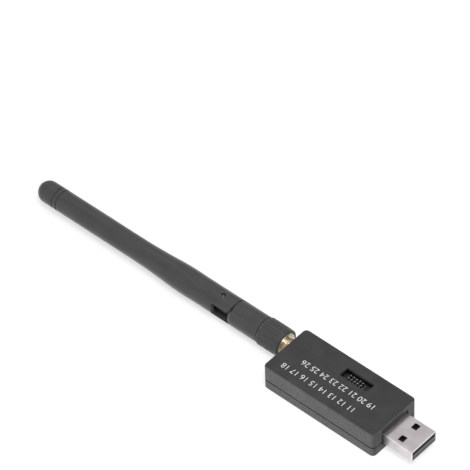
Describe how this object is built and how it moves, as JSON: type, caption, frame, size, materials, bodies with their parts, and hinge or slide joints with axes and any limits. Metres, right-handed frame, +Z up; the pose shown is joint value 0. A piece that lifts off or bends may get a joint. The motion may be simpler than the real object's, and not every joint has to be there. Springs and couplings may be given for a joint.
{
  "type": "usb radio stick",
  "caption": "Flat plastic case with a USB-A plug at one end and a screw-on whip antenna, tilting at a forked hinge, at the other.",
  "frame": {"origin": "centre of the case's flat underside", "axes": "+X out of the USB plug, -X along the straight antenna, +Z up out of the case's top face"},
  "size_m": [0.1728, 0.0212, 0.0104],
  "materials": {
    "case_plastic": "fine spark-eroded matte, dark grey",
    "antenna_plastic": "fine matte, dark grey",
    "board": "black solder mask on glass laminate",
    "plug_steel": "nickel-plated sheet, lightly brushed",
    "plug_insulator": "moulded, dark grey",
    "header_plastic": "moulded, black",
    "chip_black": "moulded package, black",
    "ceramic_tan": "fired ceramic, tan",
    "dielectric": "natural white",
    "cable_jacket": "smooth jacket, brown",
    "gold_brass": "turned brass with a thin gold plating",
    "contact_gold": "gold plated",
    "raw_brass": "drawn",
    "pin_steel": "plain"
  },
  "bodies": {
    "stick": {"bottom_shell": "case_plastic", "top_shell": "case_plastic", "circuit_board": "board", "usb_shell": "plug_steel", "usb_insulator": "plug_insulator", "usb_contacts": "contact_gold", "header_body": "header_plastic", "header_pins": "contact_gold", "radio_shield": "plug_steel", "radio_chip": "chip_black", "bridge_chip": "chip_black", "crystal": "plug_steel", "voltage_regulator": "chip_black", "chip_capacitors": "ceramic_tan", "jack_body": "gold_brass", "jack_insulator": "dielectric", "jack_contact": "contact_gold"},
    "connector_ring": {"snap_ring": "gold_brass"},
    "coupling": {"coupling_nut": "gold_brass", "knurled_sleeve": "antenna_plastic"},
    "antenna_base": {"connector_body": "gold_brass", "connector_insulator": "dielectric", "centre_pin": "contact_gold", "swivel_base": "antenna_plastic", "coax_cable": "cable_jacket"},
    "mast": {"mast_sleeve": "antenna_plastic", "tip_cap": "antenna_plastic", "hinge_pins": "pin_steel", "dipole_sleeve": "raw_brass", "radiator_rod": "raw_brass", "mast_spacers": "dielectric"}
  },
  "joints": [
    {"name": "antenna_unscrew", "type": "slide", "parent": "stick", "child": "connector_ring", "axis": [-1, 0, 0], "range_m": [0, 0.00706]},
    {"name": "nut_spin", "type": "hinge", "parent": "connector_ring", "child": "coupling", "pos_m": [-0.0336, 0.0045, 0.0053], "axis": [-1, 0, 0], "range_deg": [0, 3600]},
    {"name": "antenna_swivel", "type": "hinge", "parent": "connector_ring", "child": "antenna_base", "pos_m": [-0.0336, 0.0045, 0.0053], "axis": [1, 0, 0], "continuous": true},
    {"name": "mast_tilt", "type": "hinge", "parent": "antenna_base", "child": "mast", "pos_m": [-0.054, 0.0045, 0.0053], "axis": [0, 0, 1], "range_deg": [0, 90], "deforming": ["coax_cable"]}
  ],
  "couplings": [
    {"joint": "nut_spin", "follows": "antenna_unscrew", "rad_per_m": 8905.3}
  ]
}
